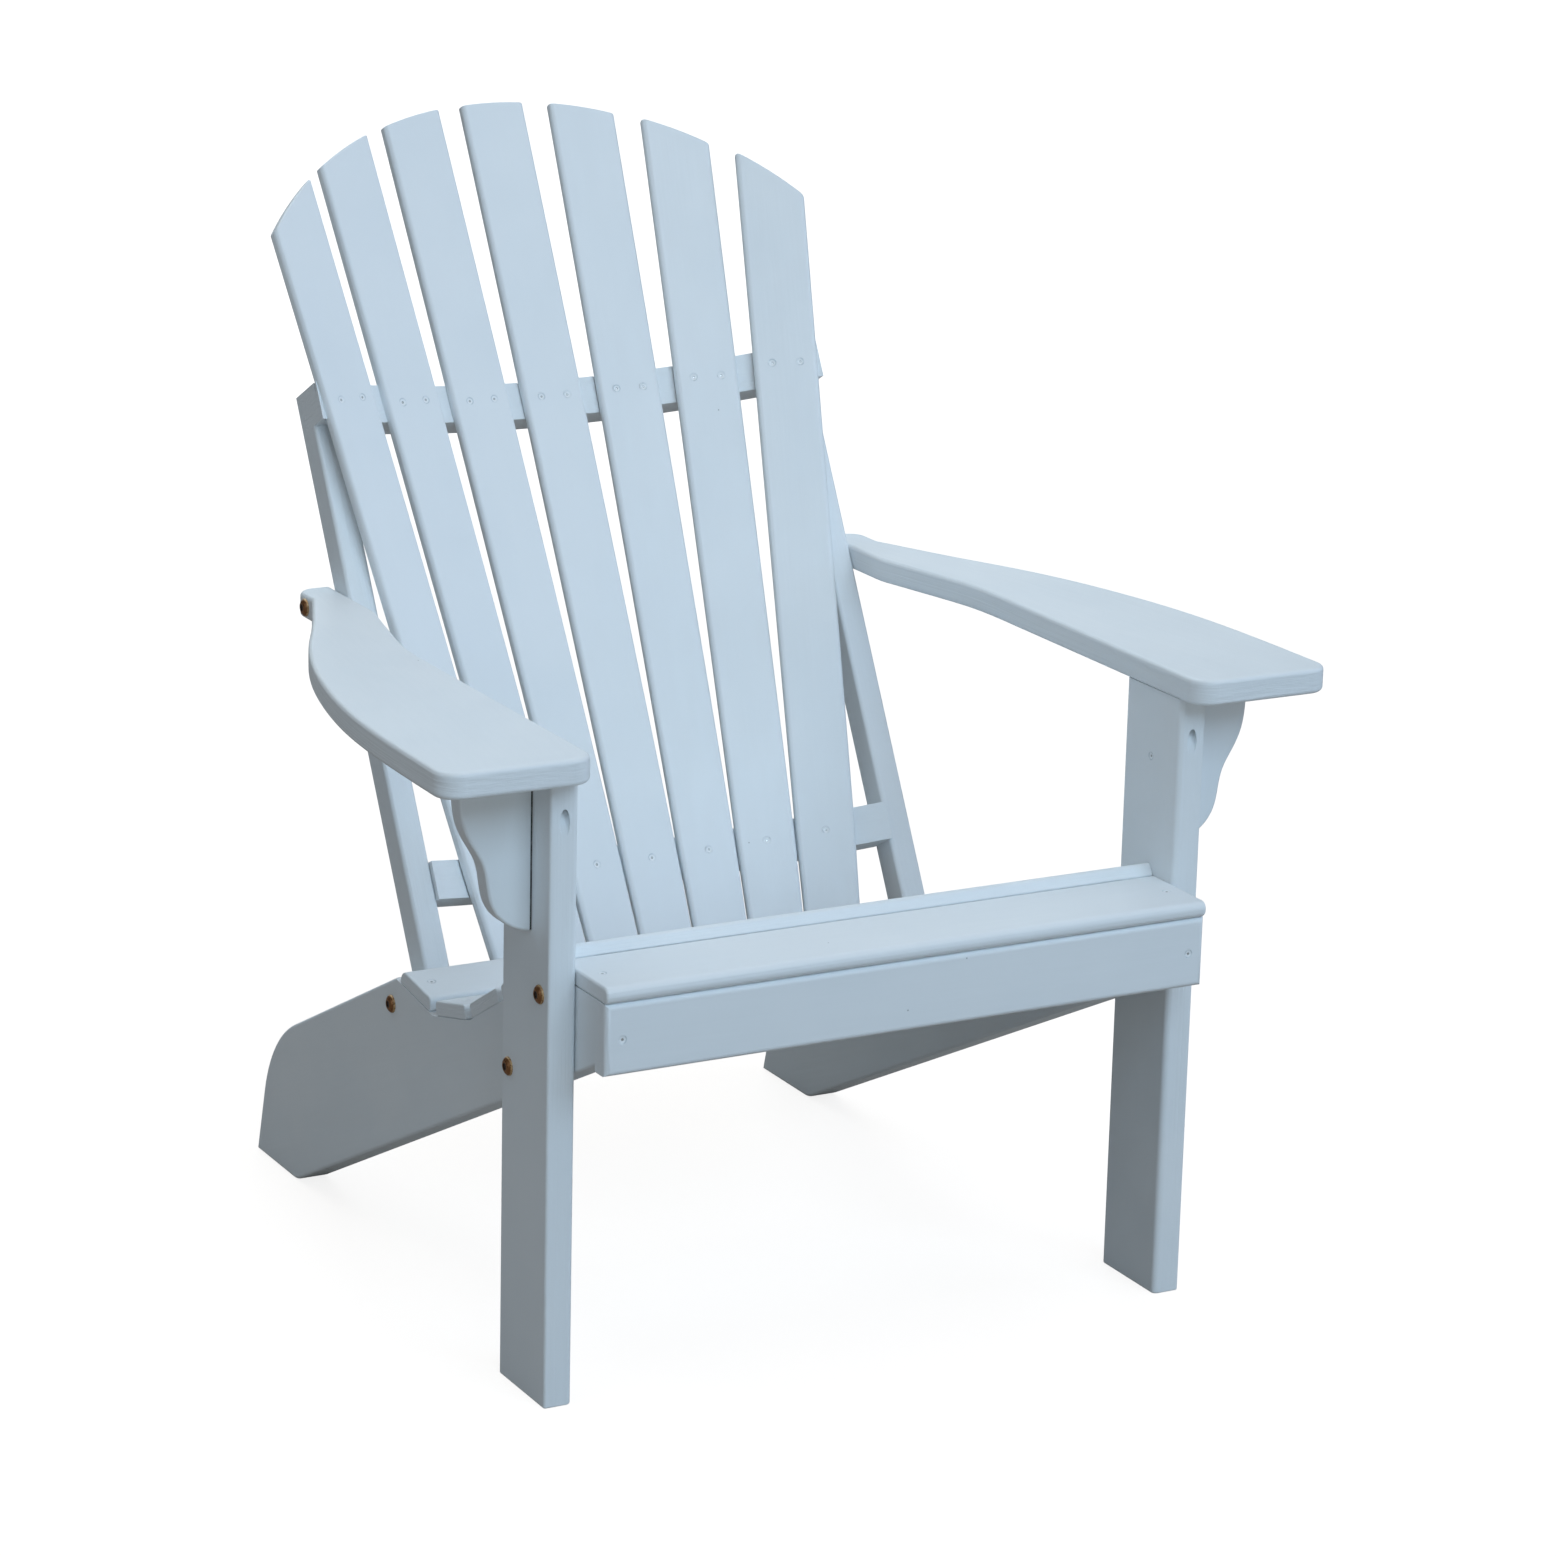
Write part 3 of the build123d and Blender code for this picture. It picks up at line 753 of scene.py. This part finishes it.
@dataclass
class FanBack:
    """Posts, curved rails and the seven fanned slats."""

    slats: int = 7
    bolt_nodes: tuple[str, ...] = ("post_bolts",)
    nut_nodes: tuple[str, ...] = ("post_nuts",)
    screw_nodes: tuple[str, ...] = ("back_screws_upper", "back_screws_lower")

    def boards(self) -> list[Board]:
        """Boards of the back.

        Returns:
            Rails, posts and slats.
        """
        names = ["rail_upper", "rail_lower"] + ["post_" + side for side in SIDES]
        names += ["back_slat_%d" % (k + 1) for k in range(self.slats)]
        return [Board(name) for name in names]


@dataclass
class PaddleArms:
    """The two arms and the bolts that hold their rear ends."""

    bolt_nodes: tuple[str, ...] = ("arm_bolts",)
    nut_nodes: tuple[str, ...] = ("arm_nuts",)

    def boards(self) -> list[Board]:
        """Both arms."""
        return [Board("arm_" + side) for side in SIDES]


@dataclass(frozen=True)
class LatheHead:
    """Round head turned from a profile of radius and height, with an optional hex socket."""

    name: str
    profile: tuple[Pair, ...]
    segments: int
    socket_width: float = 0.0
    socket_floor: float = 0.0
    sharp_angle: float = 40.0

    def mesh(self) -> bpy.types.Mesh:
        """Turn the profile about Z and store each point's share of the radius.

        Returns:
            The head's mesh.
        """
        work = bmesh.new()
        widest = max(radius for radius, _ in self.profile)
        rings = []
        for radius, height in self.profile:
            rings.append(self.loop(work, radius, height))
        for lower, upper in zip(rings, rings[1:]):
            self.bridge(work, lower, upper)
        if self.socket_width > 0.0:
            self.socket(work, rings[-1])
        else:
            work.faces.new(rings[-1])
        bmesh.ops.recalc_face_normals(work, faces=work.faces)
        for face in work.faces:
            face.smooth = True
        limit = math.radians(self.sharp_angle)
        for edge in work.edges:
            edge.smooth = len(edge.link_faces) == 2 and edge.calc_face_angle(0.0) < limit
        made = bpy.data.meshes.new(self.name)
        work.to_mesh(made)
        work.free()
        share = made.attributes.new(RING, "FLOAT", "POINT")
        for vertex in made.vertices:
            share.data[vertex.index].value = min(1.0, vertex.co.xy.length / widest)
        return made

    def loop(self, work: bmesh.types.BMesh, radius: float, height: float) -> Ring:
        """Add a ring of points.

        Args:
            work: Mesh in the making.
            radius: Radius of the ring.
            height: Height of the ring.

        Returns:
            The points in order.
        """
        step = math.tau / self.segments
        made = []
        for i in range(self.segments):
            made.append(work.verts.new((radius * math.cos(i * step), radius * math.sin(i * step), height)))
        return made

    def bridge(self, work: bmesh.types.BMesh, lower: Ring, upper: Ring) -> None:
        """Join two rings of as many points with faces.

        Args:
            work: Mesh in the making.
            lower: Points of the first ring.
            upper: Points of the second ring.
        """
        for i in range(len(lower)):
            j = (i + 1) % len(lower)
            work.faces.new((lower[i], lower[j], upper[j], upper[i]))

    def socket(self, work: bmesh.types.BMesh, rim: Ring) -> None:
        """Sink a hex socket inside the last ring.

        Args:
            work: Mesh in the making.
            rim: Points of the last ring.
        """
        sixth = math.pi / 3
        rows = []
        for height in (rim[0].co.z, self.socket_floor):
            row = []
            for point in rim:
                turn = math.atan2(point.co.y, point.co.x)
                off = (turn % sixth) - sixth / 2
                reach = self.socket_width / 2 / math.cos(off)
                row.append(work.verts.new((reach * math.cos(turn), reach * math.sin(turn), height)))
            rows.append(row)
        self.bridge(work, rim, rows[0])
        self.bridge(work, rows[0], rows[1])
        work.faces.new(rows[1])


class FastenerRow:
    """Geometry Nodes tree that sets one head at every place of a fastener."""

    def __init__(self) -> None:
        """Build the node tree with its named inputs."""
        self.tree = bpy.data.node_groups.new("fastener_row", "GeometryNodeTree")
        face = self.tree.interface
        face.new_socket("Geometry", in_out="INPUT", socket_type="NodeSocketGeometry")
        self.ids: dict[str, str] = {}
        for label, kind in (
            ("Head", "NodeSocketObject"),
            ("Size", "NodeSocketFloat"),
            ("Size Spread", "NodeSocketFloat"),
            ("Seed", "NodeSocketInt"),
            ("Finish", "NodeSocketMaterial"),
        ):
            self.ids[label] = face.new_socket(label, in_out="INPUT", socket_type=kind).identifier
        face.new_socket("Geometry", in_out="OUTPUT", socket_type="NodeSocketGeometry")
        art = NodeCanvas(self.tree)
        start = art.add("NodeGroupInput")
        head = art.add("GeometryNodeObjectInfo", transform_space="ORIGINAL")
        facing = art.add("GeometryNodeInputNamedAttribute", data_type="FLOAT_VECTOR")
        facing.inputs["Name"].default_value = FACING
        align = art.add("FunctionNodeAlignRotationToVector", axis="Z")
        spread = art.add("FunctionNodeRandomValue", data_type="FLOAT")
        spin = art.add("FunctionNodeRandomValue", data_type="FLOAT")
        turn = art.add("ShaderNodeCombineXYZ")
        turned = art.add("FunctionNodeEulerToRotation")
        place = art.add("GeometryNodeInstanceOnPoints")
        rotate = art.add("GeometryNodeRotateInstances")
        real = art.add("GeometryNodeRealizeInstances")
        coat = art.add("GeometryNodeSetMaterial")
        end = art.add("NodeGroupOutput")
        low = art.math("SUBTRACT", start.outputs["Size"], start.outputs["Size Spread"])
        high = art.math("ADD", start.outputs["Size"], start.outputs["Size Spread"])
        floats = [s for s in spread.inputs if s.type == "VALUE" and s.enabled]
        art.link(low, floats[0])
        art.link(high, floats[1])
        art.link(start.outputs["Seed"], spread.inputs["Seed"])
        turns = [s for s in spin.inputs if s.type == "VALUE" and s.enabled]
        turns[0].default_value = 0.0
        turns[1].default_value = math.tau
        art.link(start.outputs["Seed"], spin.inputs["Seed"])
        spin_out = next(s for s in spin.outputs if s.type == "VALUE" and s.enabled)
        spread_out = next(s for s in spread.outputs if s.type == "VALUE" and s.enabled)
        art.link(spin_out, turn.inputs["Z"])
        art.link(turn.outputs[0], turned.inputs[0])
        art.link(start.outputs["Head"], head.inputs["Object"])
        art.link(facing.outputs["Attribute"], align.inputs["Vector"])
        art.link(start.outputs["Geometry"], place.inputs["Points"])
        art.link(head.outputs["Geometry"], place.inputs["Instance"])
        art.link(align.outputs[0], place.inputs["Rotation"])
        art.link(spread_out, place.inputs["Scale"])
        art.link(place.outputs[0], rotate.inputs["Instances"])
        art.link(turned.outputs[0], rotate.inputs["Rotation"])
        rotate.inputs["Local Space"].default_value = True
        art.link(rotate.outputs[0], real.inputs["Geometry"])
        art.link(real.outputs[0], coat.inputs["Geometry"])
        art.link(start.outputs["Finish"], coat.inputs["Material"])
        art.link(coat.outputs[0], end.inputs[0])

    def build(
        self,
        name: str,
        head: LatheHead,
        spots: Sequence[Spot],
        finish: bpy.types.Material,
        slot: Slot,
        stands_for: Sequence[str],
        spread: float,
        seed: int,
    ) -> bpy.types.Object:
        """Make one piece that holds a head at each spot.

        Args:
            name: Name of the piece.
            head: Shape of the head.
            spots: Where the heads go.
            finish: Material of the heads.
            slot: Material slot of the record; not used.
            stands_for: Nodes that the piece takes the place of.
            spread: How far the sizes differ from one.
            seed: Seed of the random turns.

        Returns:
            The finished piece.
        """
        points = bpy.data.meshes.new(name + "_places")
        points.from_pydata([tuple(s.place) for s in spots], [], [])
        facing = points.attributes.new(FACING, "FLOAT_VECTOR", "POINT")
        for i, spot in enumerate(spots):
            facing.data[i].vector = spot.facing
        pattern = bpy.data.objects.new(head.name + "_pattern", head.mesh())
        carrier = bpy.data.objects.new(name, points)
        for item in (pattern, carrier):
            bpy.context.scene.collection.objects.link(item)
        rows = carrier.modifiers.new("fastener_row", "NODES")
        rows.node_group = self.tree
        values = {"Head": pattern, "Size": 1.0, "Size Spread": spread, "Seed": seed, "Finish": finish}
        for label, value in values.items():
            rows[self.ids[label]] = value
        graph = bpy.context.evaluated_depsgraph_get()
        result = carrier.evaluated_get(graph)
        made = bpy.data.meshes.new_from_object(result, preserve_all_data_layers=True, depsgraph=graph)
        carrier.modifiers.remove(rows)
        carrier.data = made
        bpy.data.objects.remove(pattern)
        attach(carrier, ROOT)
        if stands_for:
            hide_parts(*stands_for)
        log.info("fasteners %s: %d heads, %d faces", name, len(spots), len(made.polygons))
        return carrier


@dataclass
class Hardware:
    """Bolts, nuts and filled screws of the whole chair."""

    finishes: Finishes
    bolt_radius: float = 0.008
    bolt_height: float = 0.004
    bolt_floor: float = 0.80
    bolt_shares: tuple[Pair, ...] = (
        (0.985, 0.0), (1.0, 0.10), (0.985, 0.22), (0.93, 0.42), (0.83, 0.62),
        (0.70, 0.80), (0.56, 0.92), (0.44, 0.975), (0.40, 0.96), (0.37, 0.90),
    )
    nut_radius: float = 0.0060
    nut_height: float = 0.0025
    nut_floor: float = -0.4
    nut_shares: tuple[Pair, ...] = (
        (1.0, 0.0), (1.0, 0.45), (0.97, 0.72), (0.91, 0.90), (0.82, 1.0), (0.46, 1.0), (0.42, 0.86),
    )
    plug_radius: float = 0.0041
    plug_dip: float = 0.00055
    plug_spread: float = 0.08
    plug_shares: tuple[Pair, ...] = (
        (1.0, 0.12), (0.95, 0.05), (0.86, -0.12), (0.70, -0.48), (0.52, -0.78),
        (0.34, -0.94), (0.24, -1.05), (0.18, -1.9), (0.12, -2.2),
    )
    socket_width: float = 0.0045
    head_segments: int = 36
    plug_segments: int = 28
    bolt_seed: int = 3
    nut_seed: int = 7
    plug_seed: int = 11
    bare_screws: tuple[str, ...] = ("pocket_screws",)

    def profile(self, shares: Sequence[Pair], radius: float, height: float) -> tuple[Pair, ...]:
        """Scale a profile given in shares of a radius and a height."""
        return tuple((radius * across, height * up) for across, up in shares)

    def bolt_head(self) -> LatheHead:
        """Domed head with a hex socket.

        Returns:
            The head.
        """
        profile = self.profile(self.bolt_shares, self.bolt_radius, self.bolt_height)
        floor = self.bolt_height * self.bolt_floor
        return LatheHead("bolt_head", profile, self.head_segments, self.socket_width, floor)

    def nut_head(self) -> LatheHead:
        """Flat flange with a rounded rim and a hex socket.

        Returns:
            The head.
        """
        profile = self.profile(self.nut_shares, self.nut_radius, self.nut_height)
        floor = self.nut_height * self.nut_floor
        return LatheHead("nut_head", profile, self.head_segments, self.socket_width, floor)

    def plug(self) -> LatheHead:
        """Shallow dish of filler over a screw, with a pit in the middle.

        Returns:
            The plug.
        """
        profile = self.profile(self.plug_shares, self.plug_radius, self.plug_dip)
        return LatheHead("filled_plug", profile, self.plug_segments)

    def build(self, seat: SeatDeck, legs: LegFrame, back: FanBack, arms: PaddleArms) -> None:
        """Set every fastener.

        Args:
            seat: Seat with its screws.
            legs: Legs with their bolts, nuts and corbel screws.
            back: Back with its bolts, nuts and slat screws.
            arms: Arms with their bolts and nuts.
        """
        row = FastenerRow()
        bronze, filler = self.finishes.bronze, self.finishes.filler
        for i, part in enumerate((legs, back, arms)):
            for node in part.bolt_nodes:
                spots = FastenerPlaces(node, Seat.PROUD).spots()
                name = node[:-1] + "_heads"
                seed = self.bolt_seed + i
                row.build(name, self.bolt_head(), spots, bronze, Slot.BRONZE, [node], 0.0, seed)
            for node in part.nut_nodes:
                spots = FastenerPlaces(node, Seat.PROUD).spots()
                name = node[:-1] + "_faces"
                seed = self.nut_seed + i
                row.build(name, self.nut_head(), spots, bronze, Slot.BRONZE, [node], 0.0, seed)
        for seed, part in enumerate((seat, back, legs), self.plug_seed):
            for node in part.screw_nodes:
                spots = FastenerPlaces(node, Seat.SUNK).spots()
                name = node.replace("screws", "plugs")
                row.build(name, self.plug(), spots, filler, Slot.PAINT, [], self.plug_spread, seed)
        self.dress_screws(seat.screw_nodes + legs.screw_nodes + back.screw_nodes + self.bare_screws)

    def dress_screws(self, nodes: Sequence[str]) -> None:
        """Give the screws that stay in the wood their steel.

        Args:
            nodes: Names of the screw nodes.
        """
        for name in nodes:
            node = frame["nodes"][name]
            node.data.materials.clear()
            node.data.materials.append(self.finishes.steel)
            log.info("screws %s", name)


@dataclass
class JointShadeStrips:
    """Dark strips of painted shade where each corbel meets its leg."""

    finishes: Finishes
    width: float = 0.0014
    proud: float = 0.0002
    sunk: float = 0.0006
    clear: float = 0.0015

    def build(self) -> None:
        """Lay a strip of painted shade down the front and the rear of each corbel."""
        for side in SIDES:
            self.line(side)

    def line(self, side: str) -> bpy.types.Object:
        """Make the painted shade strips of one corbel.

        Args:
            side: Side of the chair.

        Returns:
            The finished piece.
        """
        solid = frame["nodes"]["corbel_" + side].data
        points = np.array([vertex.co[:] for vertex in solid.vertices])
        low, high = points.min(axis=0), points.max(axis=0)
        inner = low[0] if low[0] > 0.0 else high[0]
        across = sorted((inner, inner + math.copysign(self.width, inner)))
        upright = (low[2] + self.clear, high[2] - self.clear)
        work = bmesh.new()
        for face, out in ((low[1], -1.0), (high[1], 1.0)):
            deep = sorted((face + out * self.proud, face - out * self.sunk))
            corners = [(x, y, z) for x in across for y in deep for z in upright]
            bmesh.ops.convex_hull(work, input=[work.verts.new(corner) for corner in corners])
        bmesh.ops.recalc_face_normals(work, faces=work.faces)
        mesh = bpy.data.meshes.new("corbel_joint_" + side)
        work.to_mesh(mesh)
        work.free()
        mesh.materials.append(self.finishes.joint)
        piece = bpy.data.objects.new(mesh.name, mesh)
        bpy.context.scene.collection.objects.link(piece)
        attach(piece, ROOT)
        log.info("joint %s: %d faces", piece.name, len(mesh.polygons))
        return piece


@dataclass
class PhotoCamera:
    """Camera at the photograph's viewing angle."""

    azimuth: float = -28.78
    elevation: float = 16.066
    roll: float = 1.397
    distance: float = 4.22026
    target: Triple = (0.00253, -0.16593, 0.44357)
    lens: float = 116.10
    sensor: float = 36.0
    clip_end: float = 100.0

    def build(self) -> bpy.types.Object:
        """Make the camera and use it.

        Returns:
            The camera object.
        """
        turn, lift, bank = (math.radians(a) for a in (self.azimuth, self.elevation, self.roll))
        back = Vector((math.sin(turn) * math.cos(lift), -math.cos(turn) * math.cos(lift), math.sin(lift)))
        level = (-back).cross(Vector((0.0, 0.0, 1.0))).normalized()
        above = level.cross(-back)
        right = level * math.cos(bank) + above * math.sin(bank)
        up = above * math.cos(bank) - level * math.sin(bank)
        place = Vector(self.target) + back * self.distance
        data = bpy.data.cameras.new("photo_camera")
        data.lens = self.lens
        data.sensor_width = self.sensor
        data.clip_end = self.clip_end
        camera = bpy.data.objects.new("photo_camera", data)
        camera.matrix_world = Matrix((
            (right.x, up.x, back.x, place.x),
            (right.y, up.y, back.y, place.y),
            (right.z, up.z, back.z, place.z),
            (0.0, 0.0, 0.0, 1.0),
        ))
        bpy.context.scene.collection.objects.link(camera)
        bpy.context.scene.camera = camera
        return camera


@dataclass(frozen=True)
class SoftPanel:
    """One soft studio panel."""

    role: LightRole
    place: Triple
    colour: Triple
    size: Pair
    power: float
    aim: Triple = (0.0, 0.0, 0.4)


@dataclass
class Studio:
    """Pale floor, soft panels and a plain surround."""

    floor_size: float = 60.0
    floor_colour: Triple = (0.34, 0.30, 0.27)
    floor_glow: float = 0.84
    glow_span: Pair = (1.4, 4.5)
    surround: Triple = (1.00, 0.93, 0.86)
    surround_level: float = 0.072
    surround_glow: float = 1.0
    panels: tuple[SoftPanel, ...] = (
        SoftPanel(LightRole.KEY, (0.8, -8.6, 7.2), (0.593, 0.794, 1.00), (9.0, 5.0), 572.0),
        SoftPanel(LightRole.FRONT, (0.6, -11.0, 2.0), (0.780, 0.930, 1.00), (9.0, 3.2), 146.0),
        SoftPanel(LightRole.TOP, (0.2, 0.0, 4.4), (1.000, 0.868, 0.739), (6.0, 6.0), 68.0, (0.0, 0.0, 0.3)),
        SoftPanel(LightRole.CROWN, (0.2, 5.5, 6.5), (0.600, 0.818, 1.00), (9.0, 5.0), 232.0),
        SoftPanel(LightRole.FILL, (-9.9, -2.0, 3.7), (0.728, 0.870, 1.00), (7.5, 6.6), 138.0),
        SoftPanel(LightRole.EDGE, (10.1, -3.5, 4.4), (0.610, 0.760, 1.00), (7.5, 5.7), 235.0),
        SoftPanel(LightRole.REAR, (2.6, 11.0, 3.4), (0.800, 0.926, 1.00), (8.8, 5.3), 190.0, (0.0, 0.0, 0.5)),
    )

    def build(self) -> None:
        """Make the floor, the panels and the surround."""
        self.floor()
        for panel in self.panels:
            self.panel(panel)
        self.world()
        bpy.context.scene.view_settings.view_transform = "Standard"

    def world(self) -> None:
        """Make a surround that lights the chair faintly and looks pale itself."""
        world = bpy.data.worlds.new("plain_surround")
        world.use_nodes = True
        art = NodeCanvas(world.node_tree)
        light = art.add("ShaderNodeBackground")
        light.inputs["Color"].default_value = (*self.surround, 1.0)
        light.inputs["Strength"].default_value = self.surround_level
        seen = art.add("ShaderNodeBackground")
        seen.inputs["Color"].default_value = (1.0, 1.0, 1.0, 1.0)
        seen.inputs["Strength"].default_value = self.surround_glow
        rays = art.add("ShaderNodeLightPath")
        both = art.add("ShaderNodeMixShader")
        art.link(rays.outputs["Is Camera Ray"], both.inputs[0])
        art.link(light.outputs[0], both.inputs[1])
        art.link(seen.outputs[0], both.inputs[2])
        output = art.add("ShaderNodeOutputWorld")
        art.link(both.outputs[0], output.inputs[0])
        bpy.context.scene.world = world

    def floor(self) -> bpy.types.Object:
        """Make the floor.

        Returns:
            The floor object.
        """
        half = self.floor_size / 2
        mesh = bpy.data.meshes.new("pale_floor")
        corners = [(-half, -half, 0.0), (half, -half, 0.0), (half, half, 0.0), (-half, half, 0.0)]
        mesh.from_pydata(corners, [], [(0, 1, 2, 3)])
        made, art = new_material(mesh.name)
        matte = art.add("ShaderNodeBsdfDiffuse")
        matte.inputs[0].default_value = (*self.floor_colour, 1.0)
        glow = art.add("ShaderNodeEmission")
        rays = art.add("ShaderNodeLightPath")
        away = art.add("ShaderNodeVectorMath", operation="LENGTH")
        art.link(art.add("ShaderNodeTexCoord").outputs["Object"], away.inputs[0])
        level = art.remap(away.outputs["Value"], self.glow_span, (self.floor_glow, self.surround_glow))
        art.link(art.math("MULTIPLY", rays.outputs["Is Camera Ray"], level), glow.inputs["Strength"])
        both = art.add("ShaderNodeAddShader")
        art.link(matte.outputs[0], both.inputs[0])
        art.link(glow.outputs[0], both.inputs[1])
        output = art.add("ShaderNodeOutputMaterial")
        art.link(both.outputs[0], output.inputs[0])
        mesh.materials.append(made)
        piece = bpy.data.objects.new("pale_floor", mesh)
        bpy.context.scene.collection.objects.link(piece)
        return piece

    def panel(self, panel: SoftPanel) -> bpy.types.Object:
        """Make one soft panel.

        Args:
            panel: Its place, size and power.

        Returns:
            The light object.
        """
        data = bpy.data.lights.new(panel.role.value, "AREA")
        data.shape = "RECTANGLE"
        data.size, data.size_y = panel.size
        data.energy = panel.power
        data.color = panel.colour
        light = bpy.data.objects.new(panel.role.value, data)
        light.visible_camera = False
        place = Vector(panel.place)
        light.location = place
        light.rotation_euler = (Vector(panel.aim) - place).to_track_quat("-Z", "Y").to_euler()
        bpy.context.scene.collection.objects.link(light)
        return light


def main() -> None:
    """Build the chair's sub-assemblies in order, then the studio."""
    logging.basicConfig(level=logging.INFO, format="%(name)s: %(message)s")
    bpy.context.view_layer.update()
    finishes = Finishes.build()
    shop = BoardShop(finishes)
    seat, legs, back, arms = SeatDeck(), LegFrame(), FanBack(), PaddleArms()
    for assembly in (legs, seat, back, arms):
        for board in assembly.boards():
            shop.dress(board)
    Hardware(finishes).build(seat, legs, back, arms)
    JointShadeStrips(finishes).build()
    PhotoCamera().build()
    Studio().build()


if __name__ == "__main__":
    main()
